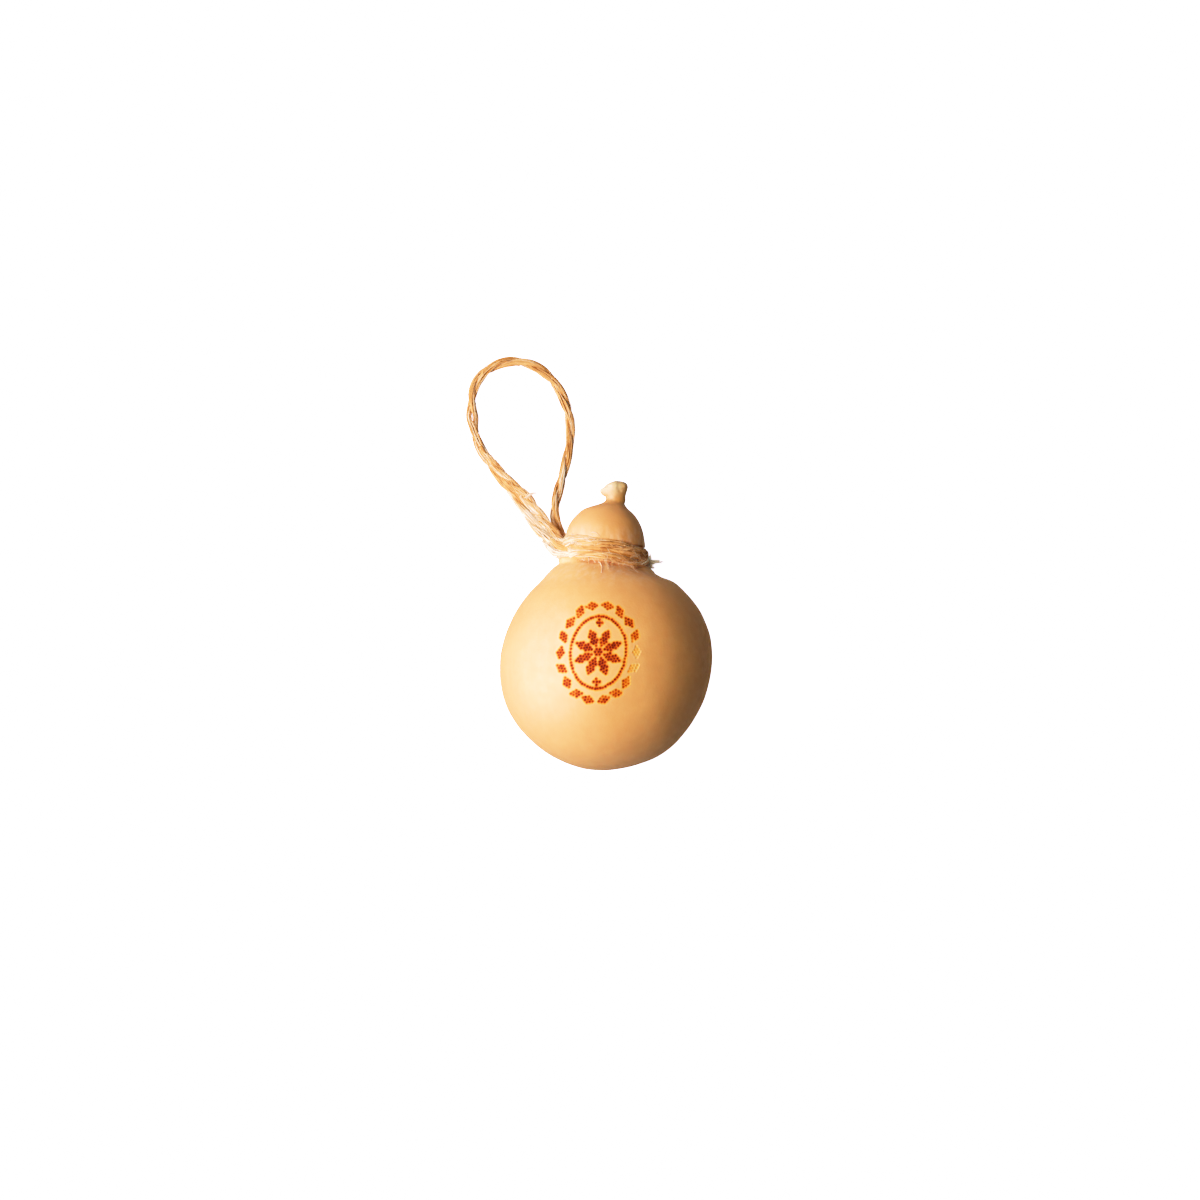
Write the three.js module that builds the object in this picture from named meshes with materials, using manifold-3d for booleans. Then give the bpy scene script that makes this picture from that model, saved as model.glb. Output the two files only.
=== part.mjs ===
// A caciocavallo: a gourd-shaped cheese of stretched curd, lying on its back, with its hanging twine.
// Millimetres, +Z up. The origin is the middle of the small flat spot that the round body rests on.
// +Y runs along the cheese towards its head, and +X is to the right as seen from above.
import * as THREE from "three";
import { mergeVertices } from "three/addons/utils/BufferGeometryUtils.js";
import Module from "manifold-3d";

const wasm = await Module();
wasm.setup();

const { degToRad, smoothstep } = THREE.MathUtils;

// Driving dimensions of the cheese. Heights run along its own axis, from the middle of the body.
const BODY_RADIUS = 62.6;
const REST_SPOT_RADIUS = 13;
const HEAD_DROOP = degToRad(4);
const SHOULDER_HEIGHT = 55.6;
const NECK_RADIUS = 20.7;
const COLLAR_RADIUS = 27;
const COLLAR_HEIGHT = 57.2;
const NECK_FROM = 59;
const NECK_TO = 69.9;
const HEAD_RADIUS = 23.5;
const HEAD_HEIGHT = 71;
const LIP_HEIGHT = 72.6;
const STEM_FOOT_HEIGHT = 90.2;
const STEM_RADIUS = 5.5;
const STEM_FROM = 98.5;
const STEM_LENGTH = 9.6;

// How far the hand-tied shape strays from a turned one.
const BODY_STRAY = 1.2;
const HEAD_STRAY = -0.4;
const STEM_STRAY = 5.8;
const TIE_SLANT = 0.122;
const STEM_LOBE = 1.7;
const STEM_LOBE_HEIGHT = 102.4;
const STEM_TOP_SLOPE = 0.25;

// Driving dimensions of the twine.
const TWINE_RADIUS = 2.4;
const TIE_GAP = 0.4;
const TIE_PITCH = 6.2;
const TIE_HEIGHT = 61.5;
const TIE_FIRST = degToRad(150);
const TIE_LAST = degToRad(-465);
const KNOT_TURN = degToRad(34);
const KNOT_HEIGHT = 63.4;
const KNOT_SIZE = [4.4, 3.2, 4.4];
const FRAYED_END_LENGTH = 12;

const BODY_SIDES = 64;
const TWINE_SIDES = 10;

const TIE_RADIUS = NECK_RADIUS + TIE_GAP + TWINE_RADIUS;
const BODY_CENTRE_Z = Math.sqrt(BODY_RADIUS ** 2 - REST_SPOT_RADIUS ** 2);

// The loop of twine, from the front of the neck down to the table, round and back under the neck.
const LOOP_ROUTE = [
  [-20.8, 64.5, 67.8],
  [-25, 63.9, 61.4],
  [-28.8, 65.2, 54.6],
  [-32.4, 69, 47.8],
  [-36, 74, 42],
  [-40, 79.2, 36.6],
  [-44.4, 85.2, 31.4],
  [-49.2, 92.4, 26],
  [-54.2, 99.8, 20.8],
  [-60, 106.6, 16.2],
  [-65.4, 114, 12],
  [-70.8, 121.4, 8.6],
  [-75.6, 129, 5.8],
  [-79, 137.2, 4],
  [-80.8, 146, 3],
  [-81.4, 154.6, 2.6],
  [-81, 162.6, 2.6],
  [-78, 170.6, 2.6],
  [-71.8, 177.4, 2.6],
  [-63, 181.6, 2.6],
  [-53, 182.6, 2.6],
  [-43.6, 180, 2.6],
  [-35.2, 174.2, 2.6],
  [-28.4, 165.8, 2.6],
  [-24, 156, 2.7],
  [-21.6, 145.6, 3.4],
  [-21.6, 135, 5.2],
  [-23.2, 124.8, 8.4],
  [-25.8, 113.8, 13.2],
  [-28.6, 103, 19.2],
  [-30.6, 93.6, 25],
  [-30.4, 86.4, 29],
  [-28.2, 79.8, 32],
  [-24.2, 73.8, 33.8],
  [-18, 69.7, 34.6],
  [-12, 67.7, 34.5],
  [-7.2, 66.8, 34],
];

// The short free end, laid along the loop's near leg and over it.
const TAIL_ROUTE = [
  [-27.2, 72.6, 51.2],
  [-29.6, 75.8, 45],
  [-33.4, 80.6, 39.4],
  [-38.4, 86.8, 33.8],
  [-43.6, 93.8, 29],
  [-49.6, 101.2, 25.2],
  [-57, 107.8, 21.8],
  [-63, 114.4, 18.2],
  [-68.6, 120.8, 15],
  [-72.8, 126.4, 12.6],
  [-75.4, 131, 11],
];

const rind = new THREE.MeshStandardMaterial({ color: 0xe9b877, roughness: 0.45, metalness: 0 });
const jute = new THREE.MeshStandardMaterial({ color: 0xdcb280, roughness: 0.8, metalness: 0 });

function solidOf(geometry) {
  const bare = new THREE.BufferGeometry();
  bare.setAttribute("position", geometry.getAttribute("position"));
  bare.setIndex(geometry.getIndex());
  const merged = mergeVertices(bare, 1e-4);
  const corners = merged.index.array;
  const triangles = [];
  for (let i = 0; i < corners.length; i += 3) {
    const [a, b, c] = corners.slice(i, i + 3);
    if (a !== b && b !== c && c !== a) triangles.push(a, b, c);
  }
  const mesh = new wasm.Mesh({
    numProp: 3,
    vertProperties: merged.attributes.position.array,
    triVerts: new Uint32Array(triangles),
  });
  return new wasm.Manifold(mesh);
}

function geometryOf(solid) {
  const mesh = solid.getMesh();
  const geometry = new THREE.BufferGeometry();
  geometry.setAttribute("position", new THREE.BufferAttribute(mesh.vertProperties, mesh.numProp));
  geometry.setIndex(new THREE.BufferAttribute(mesh.triVerts, 1));
  return geometry;
}

// The half outline of the cheese as stretches of curve, x outwards and y along the axis.
function cheeseOutline() {
  const shoulder = Math.asin(SHOULDER_HEIGHT / BODY_RADIUS);
  const shoulderRadius = BODY_RADIUS * Math.cos(shoulder);
  const shoulderFold = SHOULDER_HEIGHT + (shoulderRadius - COLLAR_RADIUS) / Math.tan(shoulder);
  const lip = Math.asin((LIP_HEIGHT - HEAD_HEIGHT) / HEAD_RADIUS);
  const lipRadius = HEAD_RADIUS * Math.cos(lip);
  const foot = Math.asin((STEM_FOOT_HEIGHT - HEAD_HEIGHT) / HEAD_RADIUS);
  const footRadius = HEAD_RADIUS * Math.cos(foot);
  const stemFold = STEM_FOOT_HEIGHT + (footRadius - STEM_RADIUS) / Math.tan(foot);
  const at = (x, y) => new THREE.Vector2(x, y);
  const stemTop = STEM_FROM + STEM_LENGTH;
  return [
    [new THREE.EllipseCurve(0, 0, BODY_RADIUS, BODY_RADIUS, -Math.PI / 2, shoulder), 24],
    [
      new THREE.QuadraticBezierCurve(
        at(shoulderRadius, SHOULDER_HEIGHT),
        at(COLLAR_RADIUS, shoulderFold),
        at(COLLAR_RADIUS, COLLAR_HEIGHT),
      ),
      3,
    ],
    [
      new THREE.CubicBezierCurve(
        at(COLLAR_RADIUS, COLLAR_HEIGHT),
        at(COLLAR_RADIUS, COLLAR_HEIGHT + 1.2),
        at(NECK_RADIUS + 2.4, COLLAR_HEIGHT + 0.2),
        at(NECK_RADIUS, NECK_FROM),
      ),
      4,
    ],
    [new THREE.LineCurve(at(NECK_RADIUS, NECK_FROM), at(NECK_RADIUS, NECK_TO)), 1],
    [
      new THREE.CubicBezierCurve(
        at(NECK_RADIUS, NECK_TO),
        at(NECK_RADIUS, NECK_TO + 1.2),
        at(lipRadius, LIP_HEIGHT - 1.4),
        at(lipRadius, LIP_HEIGHT),
      ),
      4,
    ],
    [new THREE.EllipseCurve(0, HEAD_HEIGHT, HEAD_RADIUS, HEAD_RADIUS, lip, foot), 7],
    [
      new THREE.QuadraticBezierCurve(
        at(footRadius, STEM_FOOT_HEIGHT),
        at(STEM_RADIUS, stemFold),
        at(STEM_RADIUS, STEM_FROM),
      ),
      5,
    ],
    [
      new THREE.SplineCurve([
        at(STEM_RADIUS, STEM_FROM),
        at(STEM_RADIUS + 0.3, STEM_FROM + 2.3),
        at(STEM_RADIUS + 1.2, STEM_FROM + 4.9),
        at(STEM_RADIUS + 1.3, STEM_FROM + 7.6),
        at(STEM_RADIUS - 1, stemTop - 0.4),
        at(0, stemTop),
      ]),
      10,
    ],
  ];
}

// Moves a point of the turned shape to where the hand-tied cheese has it.
function stray(point) {
  const { x, y, z } = point;
  const neckShare = smoothstep(y, 47, 58) * (1 - smoothstep(y, 72, 92));
  const body = Math.abs(y) < BODY_RADIUS ? BODY_STRAY * Math.sin((Math.PI * y) / BODY_RADIUS) : 0;
  const head = HEAD_STRAY * smoothstep(y, BODY_RADIUS, HEAD_HEIGHT);
  const stem = STEM_STRAY * smoothstep(y, STEM_FOOT_HEIGHT - 5, STEM_FROM);
  const leftwards = Math.max(0, -x / STEM_RADIUS) ** 3;
  const drop = STEM_TOP_SLOPE * Math.max(0, -x) * smoothstep(y, STEM_FROM + 3, STEM_FROM + STEM_LENGTH);
  const lobe = STEM_LOBE * leftwards * Math.exp(-(((y - STEM_LOBE_HEIGHT) / 2.1) ** 2));
  point.set(x + body + head + stem - lobe, y - TIE_SLANT * x * neckShare - drop, z);
  return point;
}

function cheeseGeometry() {
  const outline = [];
  for (const [curve, steps] of cheeseOutline()) {
    outline.push(...curve.getPoints(steps).slice(outline.length ? 1 : 0));
  }
  outline[0].x = 0;
  const turned = new THREE.LatheGeometry(outline, BODY_SIDES);
  const places = turned.getAttribute("position");
  const point = new THREE.Vector3();
  for (let i = 0; i < places.count; i += 1) {
    stray(point.fromBufferAttribute(places, i));
    places.setXYZ(i, point.x, point.y, point.z);
  }
  turned.rotateX(-HEAD_DROOP).translate(0, 0, BODY_CENTRE_Z);
  const room = 4 * BODY_RADIUS;
  const aboveTable = new THREE.BoxGeometry(room, room, room).translate(0, 0, room / 2);
  return geometryOf(solidOf(turned).intersect(solidOf(aboveTable)));
}

// A point on the twine's turns, from its angle round the neck: 0 is right, 90 degrees the shown side.
function onTie(angle, radius, height) {
  const point = new THREE.Vector3(radius * Math.cos(angle), height, radius * Math.sin(angle));
  return stray(point).applyAxisAngle(new THREE.Vector3(1, 0, 0), -HEAD_DROOP).setZ(point.z + BODY_CENTRE_Z);
}

function tieRoute() {
  const points = [];
  const count = 48;
  for (let i = 0; i <= count; i += 1) {
    const angle = TIE_FIRST + ((TIE_LAST - TIE_FIRST) * i) / count;
    const height = TIE_HEIGHT + TIE_PITCH * smoothstep(-angle, degToRad(90), degToRad(210));
    points.push(onTie(angle, TIE_RADIUS, height));
  }
  return points;
}

function twineTube(points, radius, steps) {
  const corners = [];
  for (let i = 0; i < TWINE_SIDES; i += 1) {
    const angle = (2 * Math.PI * i) / TWINE_SIDES;
    corners.push(new THREE.Vector2(radius * Math.cos(angle), radius * Math.sin(angle)));
  }
  const route = new THREE.CatmullRomCurve3(points);
  const options = { steps, bevelEnabled: false, extrudePath: route };
  return new THREE.ExtrudeGeometry(new THREE.Shape(corners), options);
}

// The knot that ends the turns, pressed down on them, with its frayed end standing out to the right.
function knotGeometry() {
  const seat = onTie(KNOT_TURN, TIE_RADIUS + KNOT_SIZE[1], KNOT_HEIGHT);
  const out = onTie(KNOT_TURN, TIE_RADIUS + KNOT_SIZE[1] + 1, KNOT_HEIGHT).sub(seat).normalize();
  const round = new THREE.Vector3().crossVectors(new THREE.Vector3(0, 1, 0), out).normalize();
  const along = new THREE.Vector3().crossVectors(out, round);
  const placed = new THREE.Matrix4().makeBasis(along, out, round).setPosition(seat);
  const lump = new THREE.SphereGeometry(1, 20, 12).scale(...KNOT_SIZE).applyMatrix4(placed);
  const aside = new THREE.Vector3(0.96, -0.12, -0.24).normalize();
  const turned = new THREE.Quaternion().setFromUnitVectors(new THREE.Vector3(0, 1, 0), aside);
  const frayed = new THREE.ConeGeometry(1.5, FRAYED_END_LENGTH, 8).translate(0, FRAYED_END_LENGTH / 2, 0);
  frayed.applyQuaternion(turned).translate(seat.x, seat.y, seat.z);
  const bed = twineTube(tieRoute(), TWINE_RADIUS + 0.3, 72);
  return geometryOf(solidOf(lump).add(solidOf(frayed)).subtract(solidOf(bed)));
}

function piece(name, geometry, material) {
  const mesh = new THREE.Mesh(geometry, material);
  mesh.name = name;
  return mesh;
}

const asPoints = (route) => route.map((place) => new THREE.Vector3(...place));

const caciocavallo = new THREE.Group();
caciocavallo.add(
  piece("cheese", cheeseGeometry(), rind),
  piece("neck_binding", twineTube(tieRoute(), TWINE_RADIUS, 72), jute),
  piece("tie_knot", knotGeometry(), jute),
  piece("hanging_loop", twineTube(asPoints(LOOP_ROUTE), TWINE_RADIUS, 52), jute),
  piece("loop_tail", twineTube(asPoints(TAIL_ROUTE), TWINE_RADIUS, 14), jute),
);

export default caciocavallo;
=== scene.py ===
import math
import random

import bmesh
import bpy
from mathutils import Matrix, Vector, kdtree, noise
from mathutils.geometry import interpolate_bezier


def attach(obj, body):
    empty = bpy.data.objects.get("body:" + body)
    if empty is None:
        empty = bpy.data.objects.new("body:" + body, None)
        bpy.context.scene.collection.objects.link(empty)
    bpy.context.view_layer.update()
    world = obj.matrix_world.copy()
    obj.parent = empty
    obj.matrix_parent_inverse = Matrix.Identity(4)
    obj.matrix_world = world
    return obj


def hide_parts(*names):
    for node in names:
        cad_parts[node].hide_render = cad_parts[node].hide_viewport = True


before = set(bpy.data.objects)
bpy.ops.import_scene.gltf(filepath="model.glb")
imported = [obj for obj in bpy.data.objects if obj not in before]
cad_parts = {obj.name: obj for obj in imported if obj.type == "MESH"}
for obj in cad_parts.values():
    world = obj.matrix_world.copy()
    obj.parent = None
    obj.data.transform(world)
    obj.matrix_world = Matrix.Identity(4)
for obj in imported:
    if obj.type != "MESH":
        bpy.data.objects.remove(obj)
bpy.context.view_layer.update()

# The cheese
# One lump of stretched curd, kneaded to a ball and tied in below a small head, with a smooth waxy rind.
# The curd was torn off above the head, which left the short stem, and the body lies on a small flat spot.
body_radius = 0.0626
rest_spot_radius = 0.013
head_droop = math.radians(4)
shoulder_height = 0.0556
collar_radius = 0.027
collar_height = 0.0572
neck_radius = 0.0207
neck_from = 0.0602
neck_to = 0.0699
head_radius = 0.0235
head_stretch = 1.06
head_height = 0.071
lip_height = 0.0726
stem_foot_turn = math.radians(67)
stem_radius = 0.0059
stem_waist_height = 0.0978
stem_flare_radius = 0.0070
stem_flare_height = 0.1040
stem_top = 0.1086
tie_slant = 0.122
slant_begins = (0.047, 0.058)
slant_ends = (0.072, 0.092)
body_lean = 0.0012
head_lean = -0.0004
stem_lean = 0.0062
stem_leans_from = (0.0910, 0.0975)
lobe_reach = 0.0025
lobe_height = 0.1024
lobe_half_height = 0.0030
crown_slope = 0.25
crown_slopes_from = (0.1015, stem_top)
body_centre_z = math.sqrt(body_radius**2 - rest_spot_radius**2)
laid_down = Matrix.Translation((0, 0, body_centre_z)) @ Matrix.Rotation(-head_droop, 4, "X")


def ease(value, start, stop):
    """0 before the start, 1 after the stop and a smooth rise between them."""
    share = min(1.0, max(0.0, (value - start) / (stop - start)))
    return share * share * (3 - 2 * share)


def between(value, rise, fall):
    """1 from the end of the rise to the start of the fall, and 0 before and after them."""
    return ease(value, *rise) * (1 - ease(value, *fall))


def bell(value, width):
    """1 at a value of 0, and less and less on either side of it."""
    return math.exp(-((value / width) ** 2))


def hand_tied(place):
    """Where a point of the turned shape lies on the hand-tied cheese, which leans and slants."""
    x, y, z = place
    slant = tie_slant * between(y, slant_begins, slant_ends)
    body = body_lean * math.sin(math.pi * y / body_radius) if abs(y) < body_radius else 0
    head = head_lean * ease(y, body_radius, head_height)
    stem = stem_lean * ease(y, *stem_leans_from)
    to_left = min(1, max(0, -x / stem_radius))
    lobe_share = max(0, 1 - ((y - lobe_height) / lobe_half_height) ** 2)
    lobe = lobe_reach * to_left**2 * lobe_share**0.7
    drop = crown_slope * max(0, -x) * ease(y, *crown_slopes_from)
    return Vector((x + body + head + stem - lobe, y - slant * x - drop, z))


def arc(centre_height, radius, stretch, start, stop, steps):
    """Part of a circle of the turned shape, stretched along the axis."""
    turns = [start + (stop - start) * step / steps for step in range(steps + 1)]
    high = radius * stretch
    return [Vector((radius * math.cos(turn), centre_height + high * math.sin(turn), 0)) for turn in turns]


def fold(start, corner, stop, steps):
    """A rounded corner of the turned shape."""
    start, corner, stop = (Vector((*end, 0)) for end in (start, corner, stop))
    return interpolate_bezier(start, start.lerp(corner, 2 / 3), stop.lerp(corner, 2 / 3), stop, steps + 1)


def sweep(start, start_pull, stop_pull, stop, steps):
    """A bend of the turned shape that leaves and arrives in the directions of its two pulls."""
    places = (Vector((*end, 0)) for end in (start, start_pull, stop_pull, stop))
    return interpolate_bezier(*places, steps + 1)


# The outline that is turned round the axis, from the bottom up, as places at (radius, height).
shoulder_turn = math.asin(shoulder_height / body_radius)
shoulder_radius = body_radius * math.cos(shoulder_turn)
shoulder_corner_height = shoulder_height + (shoulder_radius - collar_radius) / math.tan(shoulder_turn)
lip_turn = math.asin((lip_height - head_height) / head_radius / head_stretch)
foot_radius = head_radius * math.cos(stem_foot_turn)
foot_height = head_height + head_radius * head_stretch * math.sin(stem_foot_turn)
foot_corner_height = foot_height + (foot_radius - stem_radius) * head_stretch / math.tan(stem_foot_turn)
collar = (collar_radius, collar_height)
neck_foot = (neck_radius, neck_from)
neck_end = (neck_radius, neck_to)
lip = (head_radius * math.cos(lip_turn), lip_height)
waist = (stem_radius, stem_waist_height)
flare = (stem_flare_radius, stem_flare_height)
stretches = [
    arc(0, body_radius, 1, -math.pi / 2, shoulder_turn, 62),
    fold((shoulder_radius, shoulder_height), (collar_radius, shoulder_corner_height), collar, 6),
    sweep(collar, (collar_radius, 0.0600), (0.0256, 0.0607), neck_foot, 10),
    sweep(neck_foot, (neck_radius, 0.063), (neck_radius, 0.067), neck_end, 5),
    sweep(neck_end, (neck_radius, 0.0711), (lip[0], 0.0712), lip, 8),
    arc(head_height, head_radius, head_stretch, lip_turn, stem_foot_turn, 24),
    fold((foot_radius, foot_height), (stem_radius, foot_corner_height), waist, 14),
    sweep(waist, (stem_radius, 0.1002), (0.0066, 0.1020), flare, 14),
    sweep(flare, (0.0077, 0.1070), (0.0056, 0.1087), (0, stem_top), 14),
]
steps_round = 160

cheese_shape = bmesh.new()
last_corner = None
for number, stretch in enumerate(stretches):
    for place in stretch[1 if number else 0 :]:
        corner = cheese_shape.verts.new(place)
        if last_corner:
            cheese_shape.edges.new((last_corner, corner))
        last_corner = corner
bmesh.ops.spin(
    cheese_shape,
    geom=cheese_shape.verts[:] + cheese_shape.edges[:],
    axis=(0, 1, 0),
    cent=(0, 0, 0),
    dvec=(0, 0, 0),
    angle=2 * math.pi,
    steps=steps_round,
    use_merge=True,
)
bmesh.ops.remove_doubles(cheese_shape, verts=cheese_shape.verts[:], dist=1e-6)
bmesh.ops.recalc_face_normals(cheese_shape, faces=cheese_shape.faces[:])

# The pressed mark on the shown side: pits that a hot dotted iron left in the rind, orange to dark brown.
# The design is a rosette in an oval frame with leaf sprigs round it, and the iron lay lighter at the right.
mark_centre = Vector((-0.0046, 0.0038))
mark_half_width = 0.025
mark_half_height = 0.031
pit_spacing = 0.00178
pit_row = 0.87
pit_radius = 0.00100
pit_depth = 0.00042
pit_scatter = 0.00010
pit_unevenness = (0.75, 1.15)
faintest_pit = 0.12
lighter_share = 0.75
lighter_from = (0.014, 0.021)
lighter_height = -0.006
lighter_fades = (0.006, 0.018)
marking = random.Random(11)
pits = []


def add_pit(u, v, strength):
    """One pit of the mark, a little off its place and pressed a little unevenly."""
    lighter = ease(u, *lighter_from) * (1 - ease(abs(v - lighter_height), *lighter_fades))
    strength *= 1 - lighter_share * lighter
    u += marking.gauss(0, pit_scatter)
    v += marking.gauss(0, pit_scatter)
    strength *= marking.uniform(*pit_unevenness)
    pits.append((u, v, min(1, max(faintest_pit, strength))))


def add_ring(count, half_width, half_height):
    for step in range(count):
        turn = 2 * math.pi * step / count
        add_pit(half_width * math.cos(turn), half_height * math.sin(turn), 1)


add_ring(count=66, half_width=0.0160, half_height=0.0208)
petal_count = 8
petal_start = 0.0040
petal_rows = [1, 2, 3, 2, 3, 2, 1]
for petal in range(petal_count):
    turn = 2 * math.pi * (petal + 0.5) / petal_count
    outwards = Vector((math.cos(turn), math.sin(turn)))
    across = Vector((-outwards.y, outwards.x))
    for row, count in enumerate(petal_rows):
        for number in range(count):
            reach = petal_start + pit_row * pit_spacing * row
            place = outwards * reach + across * pit_spacing * (number - (count - 1) / 2)
            add_pit(place.x, place.y, 1)
add_pit(0, 0, 1)
add_ring(count=6, half_width=pit_spacing, half_height=pit_spacing)
diamond_pits = [(0, -1), (-pit_row, 0), (pit_row, 0), (0, 0), (0, 1)]
diamond_height = 0.0171
diamond_strength = 0.95
leaf_rows = [(-2, (0,)), (-1, (0.5, -0.5)), (0, (0, 1, -1)), (1, (0.5, -0.5)), (2, (0,))]
leaf_strength = 0.80
leaves = 9
first_leaf = math.radians(-78)
leaf_step = math.radians(19.5)
leaf_leans = (-0.1, 0.75)
sprig_half_width = 0.0218
sprig_half_height = 0.0276
for side in (-1, 1):
    for u, v in diamond_pits:
        add_pit(u * pit_spacing, side * diamond_height + v * pit_spacing, diamond_strength)
    for leaf in range(leaves):
        turn = first_leaf + leaf_step * leaf
        right = side * math.cos(turn)
        up = math.sin(turn)
        stalk = Vector((right * sprig_half_width, up * sprig_half_height))
        ahead = Vector((-side * up * sprig_half_width, math.cos(turn) * sprig_half_height)).normalized()
        spine = (ahead + Vector((right, up)) * leaf_leans[leaf % 2]).normalized()
        across = Vector((-spine.y, spine.x))
        for row, asides in leaf_rows:
            for aside in asides:
                place = stalk + (spine * row * pit_row + across * aside) * pit_spacing
                add_pit(place.x, place.y, leaf_strength)

pit_places = kdtree.KDTree(len(pits))
for number, (u, v, strength) in enumerate(pits):
    pit_places.insert((u, v, 0), number)
pit_places.balance()


def on_mark(place, margin):
    """Whether a place of the turned shape is on the mark or within a margin of it."""
    u = place.x - mark_centre.x
    v = place.y - mark_centre.y
    inside = (u / (mark_half_width + margin)) ** 2 + (v / (mark_half_height + margin)) ** 2 < 1
    return place.z > 0 and inside


fine_margin = 0.0022
fine_cuts = 8
scorch_margin = 0.006
near_pits = 5
shallow_share = 0.65
rim_height = 0.00005
rim_reach = 1.2
rim_width = 0.3
core_strength = 0.80
core_width = 0.8
halo_strength = 0.22
halo_width = 1.65
marked_edges = set()
for face in cheese_shape.faces:
    if on_mark(face.calc_center_median(), fine_margin):
        marked_edges.update(face.edges)
bmesh.ops.subdivide_edges(cheese_shape, edges=list(marked_edges), cuts=fine_cuts, use_grid_fill=True)
scorch = cheese_shape.verts.layers.float.new("scorch")
for corner in cheese_shape.verts:
    if not on_mark(corner.co, scorch_margin):
        continue
    flat_place = (corner.co.x - mark_centre.x, corner.co.y - mark_centre.y, 0)
    sunk = 0
    raised = 0
    core = 0
    halo = 0
    for place, number, distance in pit_places.find_n(flat_place, near_pits):
        strength = pits[number][2]
        reach = distance / pit_radius
        sunk = max(sunk, (shallow_share + (1 - shallow_share) * strength) * max(0, 1 - reach * reach))
        raised = max(raised, bell(reach - rim_reach, rim_width))
        core = max(core, core_strength * strength * bell(reach, core_width))
        halo += halo_strength * strength * bell(reach, halo_width)
    corner[scorch] = core + halo
    rim = rim_height * raised if sunk < 0.05 else 0
    corner.co = corner.co.normalized() * (body_radius - pit_depth * sunk + rim)

# The unevenness of the hand-worked curd: slow swells, small dents, puckers under the tie and the torn stem.
# In front the shoulder runs smoothly into the neck, and its collar stands out only at the left and right.
swell_height = 0.00055
swell_scale = 34
dent_height = 0.00016
dent_scale = 120
pucker_height = 0.0003
puckers_from = (0.040, 0.056)
puckers_to = (0.058, 0.060)
head_pucker_height = 0.0002
head_puckers_from = (0.072, 0.074)
head_puckers_to = (0.075, 0.084)
torn_from = (0.095, 0.101)
torn_height = 0.0008
torn_scale = 210
crumb_height = 0.0002
crumb_scale = 520
collar_at_right = (0.70, 0.95)
collar_at_left = (0.45, 0.95)
left_fullness = 0.0013
left_full_at = (0.82, 0.97)
right_fullness = 0.0018
right_full_from = (0.0525, 0.0560)
right_full_to = (0.0575, 0.0592)
tuck_top = neck_from + 0.0006
head_fullness = 0.0004
head_full_at = (0.1, 0.9)
head_full_from = (0.072, 0.084)
head_full_to = (0.0895, 0.0965)
settle = 0.0004
settles_below = 0.01
for corner in cheese_shape.verts:
    place = corner.co.copy()
    turn = math.atan2(place.z, place.x)
    right = math.cos(turn)
    around = Vector((right, math.sin(turn), 0))
    off_axis = Vector((place.x, 0, place.z)).normalized()
    outwards = place.normalized() if place.y < head_height else off_axis
    radius = math.hypot(place.x, place.z)
    ball_radius = math.sqrt(max(0, body_radius**2 - place.y**2))
    collar_here = max(collar_radius, ball_radius)
    wanted = max(neck_radius, ball_radius)
    wanted += (collar_here - wanted) * max(ease(right, *collar_at_right), ease(-right, *collar_at_left))
    wanted += left_fullness * ease(-right, *left_full_at) * ease(place.y, shoulder_height, collar_height)
    right_full = between(place.y, right_full_from, right_full_to)
    wanted += right_fullness * ease(right, *collar_at_right) * right_full
    tucked = 0
    if 0 < place.y < tuck_top and radius > neck_radius:
        tucked = (radius - neck_radius) * (1 - (wanted - neck_radius) / (collar_here - neck_radius))
    swell = swell_height * noise.noise(place * swell_scale) + dent_height * noise.noise(place * dent_scale)
    pucker = pucker_height * noise.noise(around * 7 + Vector((0, 0, place.y * 18)))
    pucker *= between(place.y, puckers_from, puckers_to)
    head_pucker = head_pucker_height * noise.noise(around * 6 + Vector((5, 0, place.y * 12)))
    head_pucker *= between(place.y, head_puckers_from, head_puckers_to)
    stem_share = ease(place.y, *torn_from)
    torn = torn_height * noise.noise(Vector((place.x, place.y * 0.4, place.z)) * torn_scale)
    torn += crumb_height * noise.noise(place * crumb_scale)
    uneven = swell * (1 - stem_share) + pucker + head_pucker + torn * stem_share
    head_full = ease(right, *head_full_at) * between(place.y, head_full_from, head_full_to)
    moved = place + outwards * uneven + off_axis * (head_fullness * head_full - tucked)
    corner.co = laid_down @ hand_tied(moved)
    if corner.co.z < settles_below:
        corner.co.z = settle * math.log1p(math.exp(min(40, corner.co.z / settle)))
for face in cheese_shape.faces:
    face.smooth = True


def add_object(name, data):
    added = bpy.data.objects.new(name, data)
    bpy.context.scene.collection.objects.link(added)
    return added


def new_piece(name, mesh):
    """A piece of the object, which rides on its one body."""
    piece = add_object(name, mesh)
    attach(piece, "root")
    return piece


cheese_mesh = bpy.data.meshes.new("cheese_rind")
cheese_shape.to_mesh(cheese_mesh)
cheese_shape.free()
cheese = new_piece("cheese_rind", cheese_mesh)
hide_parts("cheese")


def new_material(name):
    material = bpy.data.materials.new(name)
    material.use_nodes = True
    tree = material.node_tree
    return material, tree, tree.nodes["Principled BSDF"]


def object_place(tree, scale=(1, 1, 1)):
    texture_place = tree.nodes.new("ShaderNodeTexCoord")
    mapping = tree.nodes.new("ShaderNodeMapping")
    mapping.inputs["Scale"].default_value = scale
    tree.links.new(texture_place.outputs["Object"], mapping.inputs["Vector"])
    return mapping.outputs["Vector"]


def axes_of(tree, place):
    split = tree.nodes.new("ShaderNodeSeparateXYZ")
    tree.links.new(place, split.inputs["Vector"])
    return split.outputs["X"], split.outputs["Y"]


def clouds(tree, place, scale, detail):
    texture = tree.nodes.new("ShaderNodeTexNoise")
    texture.inputs["Scale"].default_value = scale
    texture.inputs["Detail"].default_value = detail
    tree.links.new(place, texture.inputs["Vector"])
    return texture.outputs["Fac"]


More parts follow.
